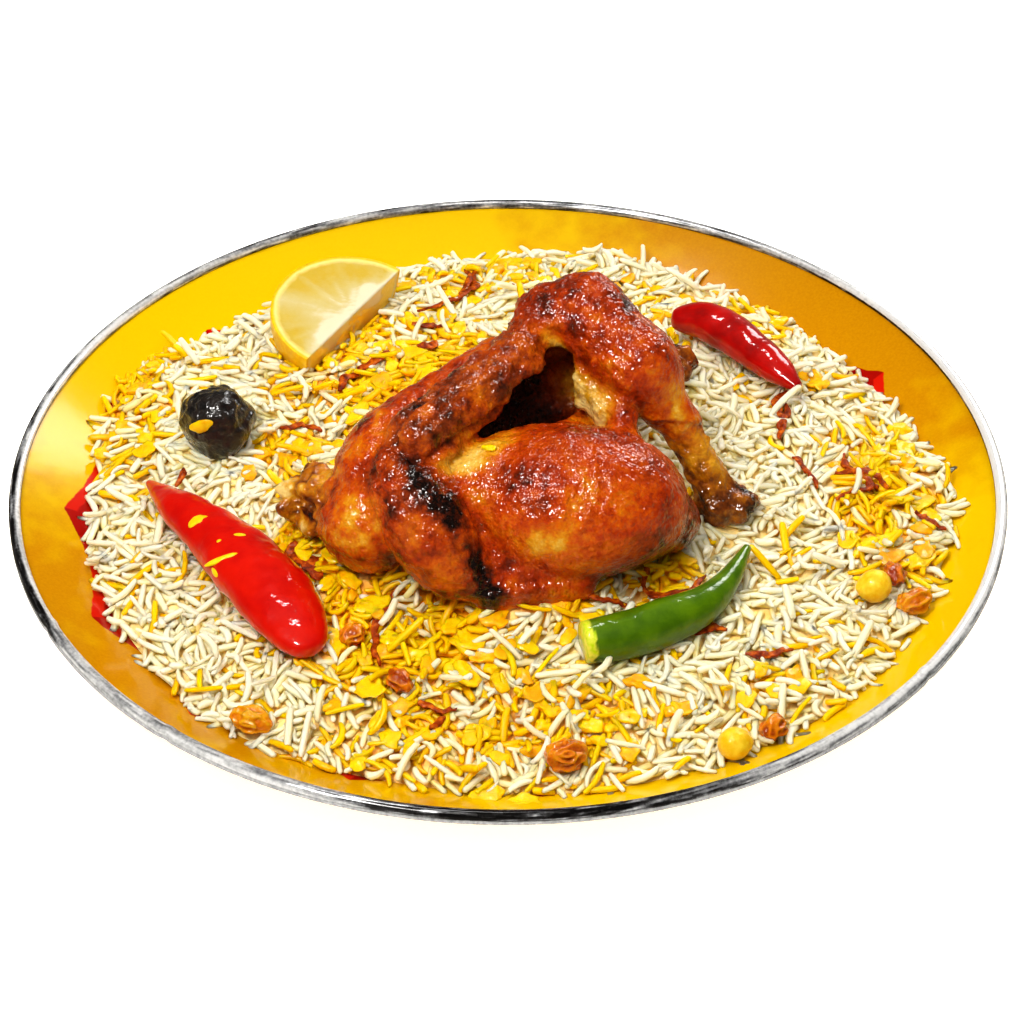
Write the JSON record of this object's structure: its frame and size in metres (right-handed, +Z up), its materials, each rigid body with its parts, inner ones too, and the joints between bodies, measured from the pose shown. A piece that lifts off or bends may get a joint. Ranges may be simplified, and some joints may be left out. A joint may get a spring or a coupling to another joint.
{
  "type": "plate of chicken madghout",
  "caption": "Round enamelled plate with a steel rim, heaped with long-grain rice and topped with a roast chicken, chillies, a lemon wedge, dried lime, chickpeas and raisins.",
  "frame": {"origin": "centre of the plate's flat underside", "axes": "+Z up, -Y towards the side that the chicken's breast faces, +X to the right seen from there"},
  "size_m": [0.4, 0.4, 0.1191],
  "materials": {
    "enamel": "glossy yellow enamel with a red ornament in the middle",
    "rim_steel": "bright steel band",
    "rice": "cooked long-grain rice, white with saffron yellow",
    "chicken": "glossy browned skin with char",
    "red_chilli": "glossy skin",
    "green_chilli": "glossy skin",
    "lemon": "wet cut flesh and pale rind",
    "dried_lime": "black wrinkled shell",
    "chickpea": "moist",
    "raisin": "wrinkled and moist"
  },
  "bodies": {
    "root": {"plate": "enamel", "rim": "rim_steel", "rice": "rice", "chicken": "chicken", "red_chilli_front": "red_chilli", "red_chilli_back": "red_chilli", "green_chilli": "green_chilli", "lemon_wedge": "lemon", "dried_lime": "dried_lime", "chickpea_1": "chickpea", "chickpea_2": "chickpea", "raisin_1": "raisin", "raisin_2": "raisin", "raisin_3": "raisin", "raisin_4": "raisin", "raisin_5": "raisin", "raisin_6": "raisin", "raisin_7": "raisin"}
  },
  "joints": []
}
